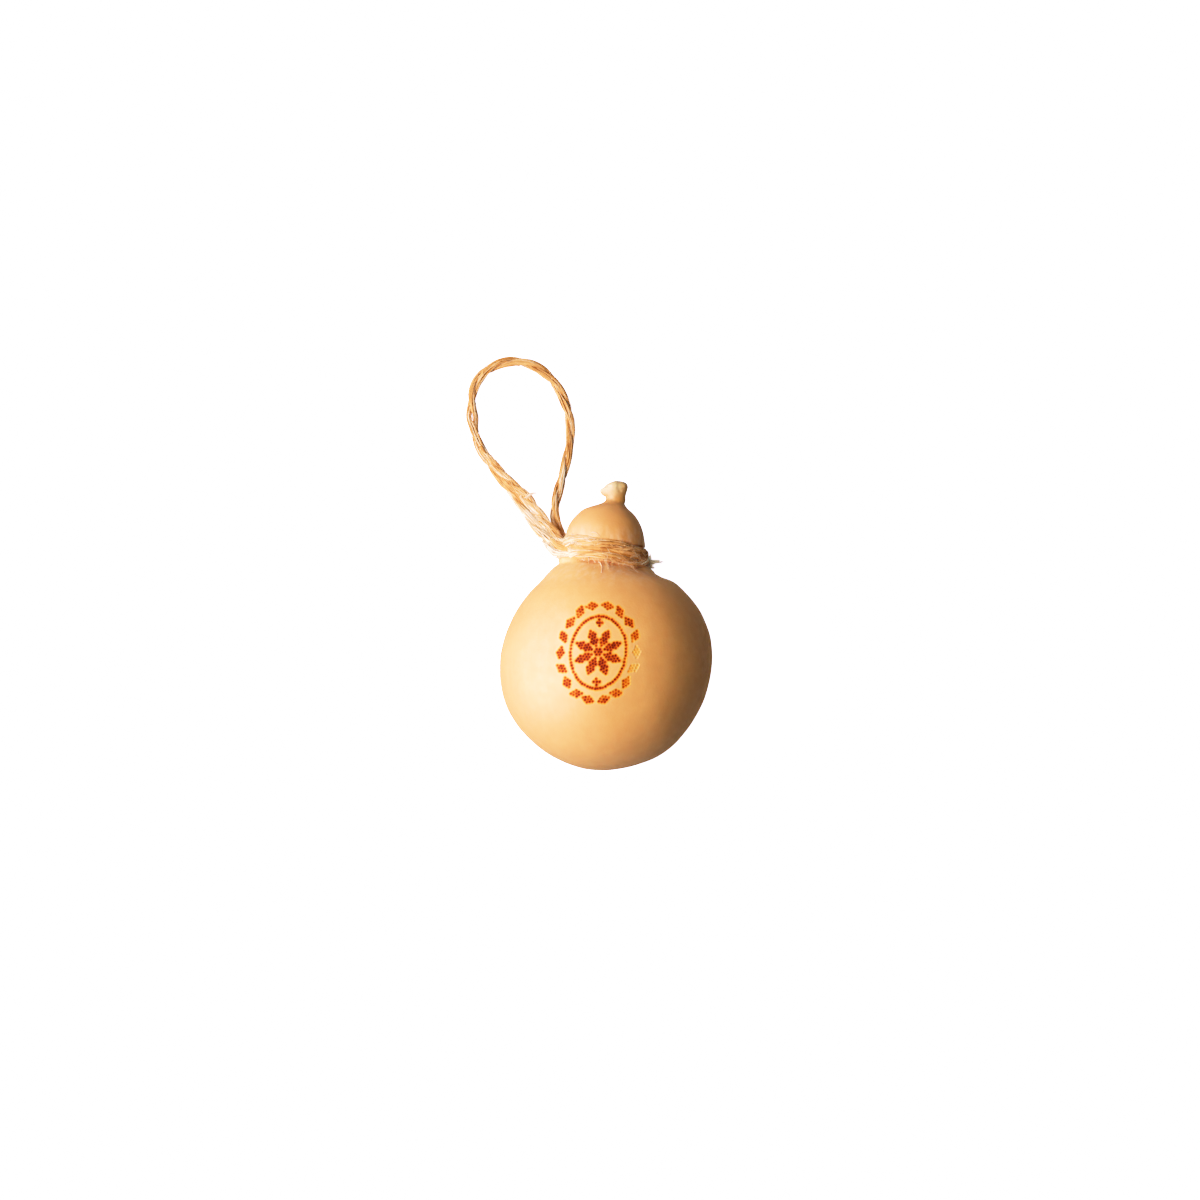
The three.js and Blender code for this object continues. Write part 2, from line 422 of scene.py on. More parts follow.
def spread(tree, value, low, high, to_low=0.0, to_high=1.0):
    """One value for all below low, another for all above high, and an even change between them."""
    node = tree.nodes.new("ShaderNodeMapRange")
    for name, number in (("From Min", low), ("From Max", high), ("To Min", to_low), ("To Max", to_high)):
        node.inputs[name].default_value = number
    tree.links.new(value, node.inputs["Value"])
    return node.outputs["Result"]


def set_or_link(tree, socket, value):
    if isinstance(value, bpy.types.NodeSocket):
        tree.links.new(value, socket)
    else:
        socket.default_value = (*value, 1) if isinstance(value, tuple) else value


def blend_colours(tree, share, first, second):
    node = tree.nodes.new("ShaderNodeMix")
    node.data_type = "RGBA"
    for socket, value in ((node.inputs[0], share), (node.inputs[6], first), (node.inputs[7], second)):
        set_or_link(tree, socket, value)
    return node.outputs[2]


def colour_steps(tree, value, steps):
    node = tree.nodes.new("ShaderNodeValToRGB")
    for number, (position, colour) in enumerate(steps):
        stop = node.color_ramp.elements[number] if number < 2 else node.color_ramp.elements.new(position)
        stop.position = position
        stop.color = (*colour, 1)
    tree.links.new(value, node.inputs["Fac"])
    return node.outputs["Color"]


def arithmetic(tree, operation, first, second):
    node = tree.nodes.new("ShaderNodeMath")
    node.operation = operation
    for socket, value in zip(node.inputs, (first, second)):
        set_or_link(tree, socket, value)
    return node.outputs["Value"]


def overlap(tree, *ranges):
    """The product of several values, each spread over a range of its own."""
    share = spread(tree, *ranges[0])
    for further in ranges[1:]:
        share = arithmetic(tree, "MULTIPLY", share, spread(tree, *further))
    return share


def attribute(tree, name):
    node = tree.nodes.new("ShaderNodeAttribute")
    node.attribute_name = name
    return node.outputs["Fac"]


def add_bump(tree, surface, height, distance):
    relief = tree.nodes.new("ShaderNodeBump")
    relief.inputs["Strength"].default_value = 0.25
    relief.inputs["Distance"].default_value = distance
    tree.links.new(height, relief.inputs["Height"])
    tree.links.new(relief.outputs["Normal"], surface.inputs["Normal"])


# The rind's colours, and where they lie: each place is a low and a high end, then the share at those ends.
amber = (0.85, 0.344, 0.085)
pale_amber = (0.91, 0.385, 0.102)
dull_amber = (0.80, 0.310, 0.070)
pulled_cream = (0.93, 0.45, 0.145)
head_amber = (0.785, 0.311, 0.076)
stem_foot_amber = (0.57, 0.235, 0.050)
stem_crown_cream = (0.77, 0.53, 0.255)
# Painted shade: the stem's right side, away from the light at the left, is blended towards a deeper amber.
painted_shade_stem_amber = (0.72, 0.31, 0.062)
bloom_cream = (0.92, 0.48, 0.22)
# Painted light: the left side of the neck and shoulder, up to the tie and towards the light, is paler
# cream.
painted_light_neck_cream = (0.96, 0.49, 0.165)
burnt_colours = [
    (0.0, (0.86, 0.50, 0.19)),
    (0.18, (0.95, 0.40, 0.05)),
    (0.42, (0.92, 0.20, 0.004)),
    (0.72, (0.50, 0.048, 0.002)),
    (1.0, (0.14, 0.008, 0.001)),
]
head_along = (0.064, 0.074, 0, 0.75)
stem_foot_along = (0.0925, 0.0965)
stem_crown_along = (0.0980, 0.1050)
painted_shade_stem_across = (0.0065, 0.0110, 0, 0.65)
bloom_above_along = (0.084, 0.075)
bloom_below_along = (0.044, 0.056)
above_tie_along = (0.062, 0.064)
painted_light_neck_along = (0.045, 0.058, 0, 0.5)
painted_light_neck_across = (-0.012, -0.020)
below_tie_along = (0.070, 0.066)
pull_scale = (1, 0.16, 1)
streak_scale = (1, 0.35, 1)

rind, tree, surface = new_material("waxy_rind")
place = object_place(tree)
across, along = axes_of(tree, place)
slow = clouds(tree, place, 24, 2)
fine = clouds(tree, place, 190, 4)
pulled = clouds(tree, object_place(tree, pull_scale), 260, 4)
streaks = clouds(tree, object_place(tree, streak_scale), 330, 3)
grain = clouds(tree, place, 700, 4)
burnt = attribute(tree, "scorch")
above_tie = spread(tree, along, *above_tie_along)
bloom_above = overlap(tree, (along, *bloom_above_along), (along, *above_tie_along))
bloom_below = arithmetic(tree, "SUBTRACT", spread(tree, along, *bloom_below_along), above_tie)
bloom = arithmetic(tree, "ADD", bloom_above, bloom_below)
bloom = arithmetic(tree, "MULTIPLY", bloom, spread(tree, streaks, 0.42, 0.66, 0, 0.75))
# Painted light on the left side of the neck and shoulder.
painted_light_neck = overlap(tree, (along, *painted_light_neck_along), (across, *painted_light_neck_across), (along, *below_tie_along))
skin_layers = [
    (spread(tree, slow, 0.3, 0.7), pale_amber),
    (spread(tree, fine, 0.35, 0.7, 0, 0.30), dull_amber),
    (spread(tree, pulled, 0.45, 0.75, 0, 0.22), pulled_cream),
    (spread(tree, along, *head_along), head_amber),
    (spread(tree, along, *stem_foot_along), stem_foot_amber),
    (spread(tree, along, *stem_crown_along), stem_crown_cream),
    # The stem's right side in painted shade.
    (overlap(tree, (along, *stem_foot_along), (across, *painted_shade_stem_across)), painted_shade_stem_amber),
    (bloom, bloom_cream),
    (painted_light_neck, painted_light_neck_cream),
    (spread(tree, burnt, 0.02, 0.2), colour_steps(tree, burnt, burnt_colours)),
]
skin = amber
for share, colour in skin_layers:
    skin = blend_colours(tree, share, skin, colour)
tree.links.new(skin, surface.inputs["Base Color"])
tree.links.new(spread(tree, fine, 0.3, 0.7, 0.60, 0.70), surface.inputs["Roughness"])
tree.links.new(spread(tree, burnt, 0.1, 0.5, 0.22, 0), surface.inputs["Subsurface Weight"])
tree.links.new(spread(tree, burnt, 0.1, 0.6, 0.5, 0.03), surface.inputs["Specular IOR Level"])
surface.inputs["Subsurface Radius"].default_value = (1, 0.5, 0.2)
surface.inputs["Subsurface Scale"].default_value = 0.004
grain = arithmetic(tree, "ADD", grain, arithmetic(tree, "MULTIPLY", pulled, 0.6))
add_bump(tree, surface, grain, 0.0004)
cheese_mesh.materials.append(rind)

# The turns of twine round the neck
# One length of two-ply jute, wound a little over one and a half turns and pulled into the soft rind.
# Both its ends leave the neck at the left, one in front and one underneath, and go on as the hanging loop.
twine_radius = 0.0024
ply_reach = 0.00145
ply_half_depth = 0.00130
ply_half_width = 0.00182
ply_swelling = 0.22
ply_tint_range = (-0.06, 0.06)
fibre_twist = 1.25
fibre_radii = (0.00024, 0.00038)
fibre_reaches = (0.90, 1.06)
heart_radius = 0.00085
thinnest_heart = 0.00002
heart_tint = 0.3
cores_in_ply = 2
core_reach = 0.36
core_radius = 0.00066
core_tint = 0.38
strand_spacing = 0.0011
tie_gap = 0.0004
tie_radius = neck_radius + tie_gap + twine_radius
tie_height = 0.0615
tie_pitch = 0.0062
tie_first = math.radians(150)
tie_last = math.radians(-465)
tie_steps = 82
upper_turn_from = (math.radians(90), math.radians(210))
knot_turn = math.radians(22)
knot_pinch = 0.22
knot_pinch_width = math.radians(20)
tie_lift = 0.0010
tie_sink = 0.0026
tie_sinks_less_above = 0.0016
tie_sinks_across = (-0.006, 0.018)
front_end_clear = (math.radians(-148), math.radians(-118))
back_end_clear = (tie_last, math.radians(-420))
upper_left_lift = 0.0007
open_place = Vector((-0.0808, 0.1486, 0.0028))
open_share = 0.50
open_length = 0.0042


def from_tenths(*places):
    """Places in metres, from places in tenths of a millimetre."""
    tenths_in_metre = 10000
    return [tuple(value / tenths_in_metre for value in place) for place in places]


# The loop's route stands here because the twine is laid in one run round the neck and along the loop.
loop_route = from_tenths(
    (-208, 645, 678), (-250, 639, 614), (-288, 652, 546), (-324, 690, 478), (-360, 740, 420),
    (-400, 792, 366), (-444, 852, 314), (-492, 924, 260), (-542, 998, 208), (-600, 1066, 162),
    (-654, 1140, 120), (-708, 1214, 86), (-756, 1290, 58), (-790, 1372, 40), (-808, 1460, 30),
    (-814, 1546, 26), (-810, 1626, 26), (-780, 1706, 26), (-718, 1774, 26), (-630, 1816, 26),
    (-530, 1826, 26), (-436, 1800, 26), (-352, 1742, 26), (-284, 1658, 26), (-240, 1560, 27),
    (-216, 1456, 34), (-216, 1350, 52), (-232, 1248, 84), (-258, 1138, 132), (-286, 1030, 192),
    (-306, 936, 250), (-304, 864, 290), (-282, 798, 320), (-242, 738, 338), (-180, 697, 346),
    (-120, 677, 345), (-72, 668, 340),
)


def on_tie(turn, radius, height):
    """A point round the neck: a turn of 0 is at the right and 90 degrees is the shown side."""
    return laid_down @ hand_tied((radius * math.cos(turn), height, radius * math.sin(turn)))


def run_through(points, spacing):
    """Even steps along the smooth curve through the points."""
    points = [Vector(point) for point in points]
    ends = [points[0] * 2 - points[1]] + points + [points[-1] * 2 - points[-2]]
    fine_line = [points[0]]
    for before, start, stop, after in zip(ends, ends[1:], ends[2:], ends[3:]):
        pulls = (start + (stop - before) / 6, stop - (after - start) / 6)
        fine_line += interpolate_bezier(start, *pulls, stop, 13)[1:]
    total = line_length(fine_line)
    count = max(2, round(total / spacing))
    line = [fine_line[0]]
    gone = 0
    for here, there in zip(fine_line, fine_line[1:]):
        step = (there - here).length
        while len(line) < count and gone + step >= total * len(line) / count:
            line.append(here.lerp(there, (total * len(line) / count - gone) / step))
        gone += step
    return line + [fine_line[-1]]


def line_length(line):
    return sum((there - here).length for here, there in zip(line, line[1:]))


def directions_along(line):
    """The way the line runs at each point, and two directions across it that turn as little as they can."""
    ways = []
    for number in range(len(line)):
        ways.append((line[min(number + 1, len(line) - 1)] - line[max(number - 1, 0)]).normalized())
    across = ways[0].orthogonal().normalized()
    sides = []
    for way in ways:
        across = (across - way * across.dot(way)).normalized()
        sides.append((across, way.cross(across)))
    return ways, sides


def nearest_on(line, place):
    """The number of the point on the line that is nearest to a place."""
    distances = [(point - place).length for point in line]
    return distances.index(min(distances))


def along_list(values, share):
    """The value at a share of the way along a list of evenly spaced values."""
    place = share * (len(values) - 1)
    number = min(int(place), len(values) - 2)
    return values[number] + (values[number + 1] - values[number]) * (place - number)


def fibre_tint(chance):
    """How pale one fibre is: most are much alike, and a few are dark or nearly white."""
    kind = chance.random()
    if kind < 0.12:
        return chance.uniform(0.22, 0.40)
    if kind > 0.86:
        return chance.uniform(0.78, 0.95)
    return chance.gauss(0.56, 0.08)


def lay_twine(line, seed, pitch, level_at, fibres, opening, pressed):
    """Two plies laid left-handed round each other along the line: (points, radii, tint) for each strand."""
    chance = random.Random(seed)
    ways, sides = directions_along(line)
    turn_step = -2 * math.pi * line_length(line) / pitch / (len(line) - 1)
    side, up = sides[level_at]
    level = math.atan2(-side.z, up.z)
    heart_radii = [
        heart_radius * (1 - min(1, 4 * (opening(middle) - 1))) + thinnest_heart for middle in line
    ]
    strands = [([Vector(middle) for middle in line], heart_radii, heart_tint)]
    for ply in range(2):
        ply_tint = chance.uniform(*ply_tint_range)
        for strand in range(fibres + cores_in_ply):
            core = strand >= fibres
            rest_turn = 2 * math.pi * strand / fibres + chance.uniform(-0.2, 0.2)
            if core:
                rest_turn = math.pi * (strand - fibres + 0.5)
            reach = core_reach if core else chance.uniform(*fibre_reaches)
            thick = core_radius if core else chance.uniform(*fibre_radii)
            tint = core_tint if core else min(1, max(0, fibre_tint(chance) + ply_tint))
            offset = chance.uniform(0, 100)
            points = []
            radii = []
            for number, middle in enumerate(line):
                turn = level + turn_step * (number - level_at) + math.pi * ply
                wander = noise.noise(Vector((number * 0.08, offset, ply * 3.7)))
                swell = 1 + ply_swelling * noise.noise(Vector((number * 0.07, seed, ply * 9.1)))
                side, up = sides[number]
                outwards = side * math.cos(turn) + up * math.sin(turn)
                around = up * math.cos(turn) - side * math.sin(turn)
                fibre_turn = rest_turn + (0 if core else 0.6 * wander - fibre_twist * turn)
                fibre_reach = reach * (1 + 0.10 * wander) * swell
                off = ply_reach * opening(middle) + ply_half_depth * fibre_reach * math.cos(fibre_turn)
                shift = outwards * off + around * ply_half_width * fibre_reach * math.sin(fibre_turn)
                radius = thick * (1 + 0.25 * wander)
                place = middle + pressed(middle, shift)
                place.z = max(place.z, radius)
                points.append(place)
                radii.append(radius)
            strands.append((points, radii, tint))
    return strands


def lay_bundle(line, seed, count, half_widths, half_depth, twist, paler):
    """Fibres laid along the line in a flat bundle that lies level: (points, radii, tint) for each fibre."""
    inner_radii = (0.0005, 0.0008)
    outer_radii = (0.00016, 0.00030)
    inner_reaches = (0.35, 0.7)
    outer_reaches = (0.88, 1.05)
    chance = random.Random(seed)
    ways, sides = directions_along(line)
    last = len(line) - 1
    strands = []
    for fibre in range(count):
        inner = fibre % 3 == 2
        rest_turn = 2 * math.pi * fibre / count + chance.uniform(-0.2, 0.2)
        reach = chance.uniform(*(inner_reaches if inner else outer_reaches))
        thick = chance.uniform(*(inner_radii if inner else outer_radii))
        tint = heart_tint if inner else min(1, max(0, fibre_tint(chance) + paler))
        offset = chance.uniform(0, 100)
        points = []
        radii = []
        for number, middle in enumerate(line):
            share = number / last
            across = ways[number].cross(Vector((0, 0, 1))).normalized()
            up = across.cross(ways[number])
            wander = noise.noise(Vector((number * 0.06, offset, seed)))
            turn = rest_turn + twist * share + 0.5 * wander
            width = along_list(half_widths, share) * reach * (1 + 0.08 * wander)
            shift = across * width * math.cos(turn) + up * half_depth * reach * math.sin(turn)
            points.append(middle + shift)
            radii.append(thick * (1 + 0.25 * wander))
        strands.append((points, radii, tint))
    return strands


def strand_mesh(name, strands):
    """Round strands as one mesh, with each strand's tint kept on its points."""
    laid = bpy.data.curves.new(name, "CURVE")
    laid.dimensions = "3D"
    laid.bevel_depth = 1
    laid.bevel_resolution = 1
    for points, radii, tint in strands:
        spline = laid.splines.new("POLY")
        spline.points.add(len(points) - 1)
        for corner, place, radius in zip(spline.points, points, radii):
            corner.co = (*place, 1)
            corner.radius = radius
    holder = bpy.data.objects.new(name, laid)
    mesh = bpy.data.meshes.new_from_object(holder)
    bpy.data.objects.remove(holder)
    bpy.data.curves.remove(laid)
    mesh.name = name
    mesh.shade_smooth()
    corners = len(mesh.vertices) // sum(len(points) for points, radii, tint in strands)
    tints = [tint for points, radii, tint in strands for count in range(len(points) * corners)]
    mesh.attributes.new("tint", "FLOAT", "POINT").data.foreach_set("value", tints)
    closing = bmesh.new()
    closing.from_mesh(mesh)
    open_edges = [edge for edge in closing.edges if edge.is_boundary]
    bmesh.ops.holes_fill(closing, edges=open_edges, sides=corners)
    closing.to_mesh(mesh)
    closing.free()
    return mesh


tie_points = []
for step in range(tie_steps + 1):
    turn = tie_last + (tie_first - tie_last) * step / tie_steps
    upper = ease(-turn, *upper_turn_from)
    from_knot = math.remainder(turn - knot_turn, 2 * math.pi)
    pinch = knot_pinch * bell(from_knot, knot_pinch_width)
    height = tie_height + tie_pitch * upper
    height += (tie_height + tie_pitch / 2 - height) * pinch
    sink = (tie_sink - tie_sinks_less_above * upper) * ease(tie_radius * math.cos(turn), *tie_sinks_across)
    height += (tie_lift - sink) * ease(-turn, *front_end_clear) * ease(turn, *back_end_clear)
    height += upper_left_lift * upper * ease(-math.cos(turn), 0, 0.7)
    tie_points.append(on_tie(turn, tie_radius, height))
tie_line = run_through(tie_points, strand_spacing)
loop_line = run_through(loop_route, strand_spacing)
neck_middle = laid_down @ Vector((0, 0.0646, 0))
neck_way = (laid_down.to_3x3() @ Vector((0, 1, 0))).normalized()
tight_from = (tie_radius + 0.0005, tie_radius + 0.012)
tight_flatter = 0.22
tight_narrower = 0.06
upper_turn_wider = 0.34
upper_turn_above = (0.0005, 0.0025)
beside_tail_place = Vector((-0.0350, 0.0727, 0.0436))
beside_tail_length = 0.012
beside_tail_wider = 0.22
beside_tail_shift = Vector((0.0006, 0.0004, 0))


def pressed_on_neck(middle, shift):
    """Twine that is pulled tight round the neck lies flatter, and its upper turn is spread wide."""
    outwards = middle - neck_middle
    above = outwards.dot(neck_way)
    outwards = outwards - neck_way * above
    tight = 1 - ease(outwards.length, *tight_from)
    outwards.normalize()
    flatter = outwards * shift.dot(outwards) * -tight_flatter
    spread_share = upper_turn_wider * ease(above + tie_slant * middle.x, *upper_turn_above)
    wider = neck_way * shift.dot(neck_way) * (spread_share - tight_narrower)
    beside_tail = bell((middle - beside_tail_place).length, beside_tail_length)
    looser = shift * (1 + beside_tail_wider * beside_tail) + beside_tail_shift * beside_tail
    return looser + (flatter + wider) * tight


def opened_ply(middle):
    """How far the plies stand apart: they part at one place in the loop's left bend."""
    return 1 + open_share * bell((middle - open_place).length, open_length)


twine_run = tie_line + loop_line
cut = len(tie_line)
twine_strands = lay_twine(
    twine_run,
    seed=5,
    pitch=0.043,
    level_at=nearest_on(twine_run, open_place),
    fibres=20,
    opening=opened_ply,
    pressed=pressed_on_neck,
)
tie_strands = [(points[: cut + 2], radii[: cut + 2], tint) for points, radii, tint in twine_strands]
loop_strands = [(points[cut:], radii[cut:], tint) for points, radii, tint in twine_strands]

# Fibres of the same twine that lie in the groove between the two turns, from beside the loop's leg, tinted
# darker as painted shade.
groove_points = [(-0.0330, 0.0740, 0.0462), (-0.0290, 0.0702, 0.0530), (-0.0250, 0.0682, 0.0606)]
groove_height = tie_height + tie_pitch / 2
groove_first = 152
groove_step = -5
groove_steps = 24
groove_sink = 0.0018
for step in range(groove_steps):
    turn = math.radians(groove_first + groove_step * step)
    sink = groove_sink * ease(tie_radius * math.cos(turn), *tie_sinks_across)
    groove_points.append(on_tie(turn, tie_radius, groove_height + tie_lift - sink))
tie_strands += lay_bundle(
    run_through(groove_points, strand_spacing),
    seed=23,
    count=36,
    half_widths=[0.0012, 0.0021, 0.0018, 0.0014, 0.0014, 0.0013, 0.0008],
    half_depth=0.0009,
    twist=1.0,
    # painted shade: the groove's fibres are tinted darker
    paler=-0.15,
)

# Jute, straw to tan. A tint of 0 is the darkest fibre and 1 the palest, and it changes along the twine:
# each place is a low and a high end across or along the object, then what the tint gains at those ends.
jute_colours = [
    (0.0, (0.32, 0.090, 0.012)),
    (0.3, (0.58, 0.215, 0.040)),
    (0.6, (0.81, 0.400, 0.138)),
    (1.0, (0.98, 0.84, 0.60)),
]
length_gain = (0.3, 0.7, -0.14, 0.14)
patch_gain = (0.3, 0.7, -0.12, 0.12)
fibre_gain = (0.3, 0.7, -0.05, 0.05)
# Painted light and shade: the twine is paler towards the left, where the light comes from, and darker
# towards the right.
painted_light_and_shade_across = (-0.024, 0.020, 0.10, -0.16)
gain_off_neck = (0.078, 0.100, 0, -0.13)
gain_at_bend = (0.140, 0.172, 0, -0.13)
# Painted light: the loop's leg and the turns at the left of the neck, facing the light, are paler.
painted_light_leg_along = (0.106, 0.088, 0, 0.22)
painted_light_leg_across = (-0.029, -0.035)
painted_light_turns_along = (0.077, 0.072, 0, 0.12)
painted_light_turns_across = (-0.012, -0.022)
# Painted shade: the loop's right leg is darker close to the neck, and a little paler further out.
painted_shade_leg_along = (0.096, 0.110, -2, 1)
painted_shade_leg_across = (-0.037, -0.031, 0, 0.08)
off_turns_along = (0.074, 0.080)

jute, tree, surface = new_material("jute_twine")
place = object_place(tree)
across, along = axes_of(tree, place)
lengths = clouds(tree, place, 36, 2)
patches = clouds(tree, place, 150, 3)
fibre = clouds(tree, place, 900, 4)
gains = [
    spread(tree, lengths, *length_gain),
    spread(tree, patches, *patch_gain),
    spread(tree, fibre, *fibre_gain),
    # Painted light at the left and painted shade at the right.
    spread(tree, across, *painted_light_and_shade_across),
    spread(tree, along, *gain_off_neck),
    spread(tree, along, *gain_at_bend),
    # Painted light at the left of the neck.
    overlap(tree, (along, *painted_light_leg_along), (across, *painted_light_leg_across)),
    overlap(tree, (along, *painted_light_turns_along), (across, *painted_light_turns_across)),
    # Painted shade on the loop's right leg near the neck.
    overlap(tree, (along, *painted_shade_leg_along), (across, *painted_shade_leg_across), (along, *off_turns_along)),
]
tint = attribute(tree, "tint")
for gain in gains:
    tint = arithmetic(tree, "ADD", tint, gain)
tree.links.new(colour_steps(tree, tint, jute_colours), surface.inputs["Base Color"])
tree.links.new(spread(tree, fibre, 0.3, 0.7, 0.58, 0.78), surface.inputs["Roughness"])
surface.inputs["Specular IOR Level"].default_value = 0.12
add_bump(tree, surface, fibre, 0.0003)


def twine_piece(name, strands):
    """A piece of twine or loose fibres, in the jute."""
    piece = new_piece(name, strand_mesh(name, strands))
    piece.data.materials.append(jute)
    return piece


binding = twine_piece("neck_twine", tie_strands)
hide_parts("neck_binding")

# The hanging loop
# The same twine, limp: from the front of the neck down to the table, round and back up under the neck.
# The cheese ripens hung by this loop over a pole, and here the loop lies slack beside the head.
loop = twine_piece("hanging_loop_twine", loop_strands)
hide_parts("hanging_loop")

# The short free end
# The spare twine left from tying, tucked in between the turns and laid along the loop's near leg.
# It is the same two-ply twine, more tightly twisted, and lies flat, wide by the neck and thin at its tip.
tail_route = from_tenths(
    (-272, 726, 512), (-296, 758, 450), (-334, 806, 394), (-384, 868, 338), (-436, 938, 290),
    (-496, 1012, 252), (-570, 1078, 218), (-630, 1144, 182), (-686, 1208, 150), (-728, 1264, 126),
    (-754, 1310, 110),
)
tucked_start = [
    on_tie(math.radians(130), tie_radius - 0.0004, groove_height),
    on_tie(math.radians(143), tie_radius + 0.0006, groove_height),
    (-0.0228, 0.0694, 0.0590),
    (-0.0250, 0.0708, 0.0552),
]
tail_line = run_through(tucked_start + tail_route, strand_spacing)
tail_level_place = Vector((-0.0589, 0.1070, 0.0208))
tail_across = Vector((0.771, 0.637, 0))
tail_widths = [0.55, 1.12, 1.22, 1.20, 1.16, 1.10, 1.02, 0.92, 0.78, 0.40]
tail_depths = [0.50, 0.60, 0.64, 0.64, 0.64, 0.64, 0.64, 0.64, 0.60, 0.40]
tail_leans = [-0.0004, -0.0002, -0.0002, -0.0003, -0.0002, 0, 0, 0, 0, 0]
tail_settling = 0.9 * twine_radius


def pressed_tail(middle, shift):
    """The free end lies flat on the leg of the loop, wide at the neck and thin at its tip."""
    share = min(1, max(0, (middle.y - tail_line[0].y) / (tail_line[-1].y - tail_line[0].y)))
    depth = along_list(tail_depths, share)
    wider = shift.dot(tail_across) * (along_list(tail_widths, share) - depth)
    settled = Vector((0, 0, -tail_settling * (1 - depth)))
    return shift * depth + tail_across * (wider + along_list(tail_leans, share)) + settled


def not_opened(middle):
    return 1


tail_strands = lay_twine(
    tail_line,
    seed=8,
    pitch=0.030,
    level_at=nearest_on(tail_line, tail_level_place),
    fibres=30,
    opening=not_opened,
    pressed=pressed_tail,
)
tail = twine_piece("loop_tail_twine", tail_strands)
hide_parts("loop_tail")

# The knot
# The twine's end is tucked under the turns at the right, where they are pulled together.
# What sticks out is cut short and has frayed to a soft brush of a few locks.
knot_turns = [52, 46, 40, 34, 28, 22, 16, 10]
knot_heights = [0.0588, 0.0594, 0.0602, 0.0612, 0.0622, 0.0630, 0.0634, 0.0636]
knot_reaches = [-0.0020, -0.0006, 0.0008, 0.0016, 0.0020, 0.0019, 0.0012, 0.0002]
knot_spacing = 0.0009
knot_points = [
    on_tie(math.radians(turn), tie_radius + reach, height)
    for turn, height, reach in zip(knot_turns, knot_heights, knot_reaches)
]
knot_strands = lay_bundle(
    run_through(knot_points, knot_spacing),
    seed=21,
    count=30,
    half_widths=[0.0008, 0.0016, 0.0019, 0.0016, 0.0010],
    half_depth=0.0010,
    twist=1.4,
    paler=0.2,
)


def tapered(radius, loss, steps):
    return [radius * (1 - loss * step / steps) for step in range(steps + 1)]


def stray(chance):
    return Vector((chance.gauss(0, 1), chance.gauss(0, 1), chance.gauss(0, 1)))


def lock_of_fibres(root, tip, sag, count, seed, width, thick, tint_range):
    """Fibres that leave one place side by side and draw together towards a tip, each of its own length."""
    chance = random.Random(seed)
    steps = 7
    fibres = []
    for number in range(count):
        start = stray(chance) * width
        bend = stray(chance) * width * 0.7
        reach = chance.uniform(0.5, 1.05)
        radius = thick * chance.uniform(0.6, 1.3)
        points = []
        for step in range(steps + 1):
            share = reach * step / steps
            middle = root.lerp(tip, share) + sag * (4 * share * (1 - share))
            points.append(middle + start * (1 - 0.8 * share) + bend * share**2)
        fibres.append((points, tapered(radius, 0.6, steps), chance.uniform(*tint_range)))
    return fibres


brush_root = on_tie(math.radians(12), tie_radius + 0.0006, 0.0622)
brush_thick = 0.00015
brush_tints = (1.1, 1.5)
brush_locks = [
    (Vector((0.0098, 0.0004, -0.0040)), Vector((0, 0.0006, 0.0010)), 90, 0.0012),
    (Vector((0.0050, -0.0034, -0.0030)), Vector((0.0004, -0.0006, 0.0008)), 60, 0.0012),
    (Vector((0.0024, 0.0050, -0.0008)), Vector((0.0010, 0, 0.0010)), 50, 0.0010),
]
for seed, (reach, sag, count, width) in enumerate(brush_locks):
    tip = brush_root + reach
    knot_strands += lock_of_fibres(brush_root, tip, sag, count, seed, width, brush_thick, brush_tints)
knot = twine_piece("knot_twine", knot_strands)
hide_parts("tie_knot")

# The loose fibres
# Jute is a coarse fibre, so single hairs and a few torn curls stand off the twine all along it.
# They are thickest on the turns round the neck, where the twine was handled most.
body_middle = Vector((0, 0, body_centre_z))
head_middle = laid_down @ hand_tied((0, head_height, 0))
balls = ((body_middle, body_radius), (head_middle, head_radius))
hair_gap = 0.0003
lowest_hair = 0.0002
hair_tints = (0.15, 1, 0.8)
turns_half_breadth = 0.0055


def clear_of_rind(place):
    """The nearest place that is outside the body, outside the head and above the table."""
    for middle, radius in balls:
        away = place - middle
        if away.length < radius + hair_gap:
            place = middle + away.normalized() * (radius + hair_gap)
    place.z = max(place.z, lowest_hair)
    return place


def trail_fibres(line, count, seed, reach, lift, thick, pressed):
    """Single fibres that run along on the twine, and whose last stretch stands off and curls."""
    chance = random.Random(seed)
    ways, sides = directions_along(line)
    fibres = []
    for number in range(count):
        steps = max(5, round(reach * chance.uniform(0.4, 1.4) / strand_spacing))
        first = chance.randrange(0, max(1, len(line) - steps))
        onwards = chance.choice((-1, 1))
        start_turn = chance.uniform(0, 2 * math.pi)
        drift = chance.gauss(0, 0.07)
        curl = chance.gauss(0, 1.3)
        rise = min(5 * lift, chance.expovariate(1 / lift))
        points = []
        for step in range(steps + 1):
            share = step / steps
            number_here = min(first + (step if onwards > 0 else steps - step), len(line) - 1)
            side, up = sides[number_here]
            turn = start_turn + drift * step + curl * share**3
            off = twine_radius * 1.06 + rise * share**4
            shift = pressed(line[number_here], (side * math.cos(turn) + up * math.sin(turn)) * off)
            points.append(clear_of_rind(line[number_here] + shift))
        radii = tapered(thick * chance.uniform(0.7, 1.3), 0.55, steps)
        fibres.append((points, radii, chance.triangular(*hair_tints)))
    return fibres


def top_at(x, y):
    """How high the uppermost surface is at a place, of the body, the head and the turns of twine."""
    tops = [0]
    for middle, radius in balls:
        left = radius**2 - (x - middle.x) ** 2 - (y - middle.y) ** 2
        if left > 0:
            tops.append(middle.z + math.sqrt(left))
    along = (y - neck_middle.y) / neck_way.y
    left = (tie_radius + 0.8 * twine_radius) ** 2 - (x - neck_middle.x) ** 2
    if abs(along + tie_slant * x) < turns_half_breadth and left > 0:
        tops.append(neck_middle.z + along * neck_way.z + math.sqrt(left))
    return max(tops)


neck_hairs = trail_fibres(
    tie_line, count=260, seed=31, reach=0.020, lift=0.0011, thick=0.00014, pressed=pressed_on_neck
)
